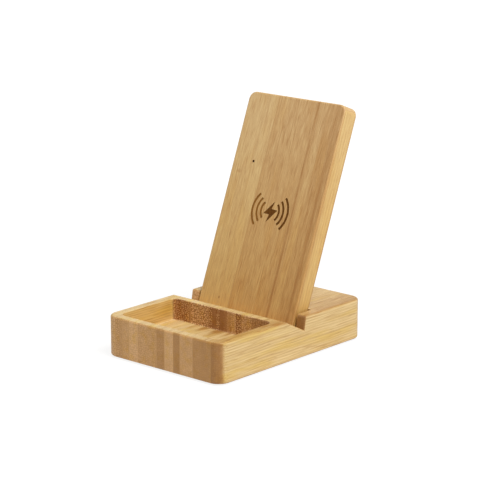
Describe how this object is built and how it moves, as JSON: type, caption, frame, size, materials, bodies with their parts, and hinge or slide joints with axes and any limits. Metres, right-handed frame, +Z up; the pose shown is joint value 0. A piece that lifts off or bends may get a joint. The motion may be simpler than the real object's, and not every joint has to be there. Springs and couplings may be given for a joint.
{
  "type": "wireless charging stand",
  "caption": "Bamboo desk stand that charges a phone: a milled base with a tray and a phone groove, and a leaning charging plate that lifts out of its slot.",
  "frame": {"origin": "on the desk, under the middle of the whole stand's box: the feet rest at Z = 0", "axes": "+Z up, +X to the right of someone facing the plate, -Y the tray end, which faces that person"},
  "size_m": [0.09, 0.1302, 0.1418],
  "materials": {
    "bamboo_block": "sanded and oiled laminated bamboo",
    "foot_rubber": "moulded rubber",
    "bamboo_plate": "sanded and oiled laminated bamboo",
    "screw_steel": "zinc plated",
    "coil_copper": "enamelled stranded copper wire",
    "adhesive_tape": "double-sided acrylic tape",
    "ferrite": "sintered ferrite sheet",
    "foam": "closed-cell foam",
    "board_laminate": "glass-epoxy laminate with solder mask",
    "chip_epoxy": "moulded epoxy",
    "capacitor_ceramic": "sintered ceramic",
    "pressed_iron": "pressed iron powder",
    "led_body": "moulded",
    "guide_acrylic": "clear acrylic",
    "receptacle_steel": "drawn stainless steel",
    "receptacle_nylon": "moulded nylon"
  },
  "bodies": {
    "base": {"base_block": "bamboo_block", "foot_left_front": "foot_rubber", "foot_left_rear": "foot_rubber", "foot_right_front": "foot_rubber", "foot_right_rear": "foot_rubber"},
    "plate": {"plate_shell": "bamboo_plate", "back_cover": "bamboo_plate", "cover_screw_1": "screw_steel", "cover_screw_2": "screw_steel", "cover_screw_3": "screw_steel", "cover_screw_4": "screw_steel", "board_screw_1": "screw_steel", "board_screw_2": "screw_steel", "board_screw_3": "screw_steel", "board_screw_4": "screw_steel", "coil_winding": "coil_copper", "coil_tape": "adhesive_tape", "ferrite_shield": "ferrite", "foam_pad": "foam", "circuit_board": "board_laminate", "controller_chip": "chip_epoxy", "bridge_chip_upper": "chip_epoxy", "bridge_chip_lower": "chip_epoxy", "input_capacitor_upper": "capacitor_ceramic", "input_capacitor_lower": "capacitor_ceramic", "resonant_capacitor_1": "capacitor_ceramic", "resonant_capacitor_2": "capacitor_ceramic", "resonant_capacitor_3": "capacitor_ceramic", "resonant_capacitor_4": "capacitor_ceramic", "power_inductor": "pressed_iron", "status_led": "led_body", "light_guide": "guide_acrylic", "receptacle_shell": "receptacle_steel", "receptacle_tongue": "receptacle_nylon"}
  },
  "joints": [
    {"name": "plate_lift", "type": "slide", "parent": "base", "child": "plate", "axis": [0, 0.3649, 0.9311], "range_m": [0, 0.025]}
  ]
}
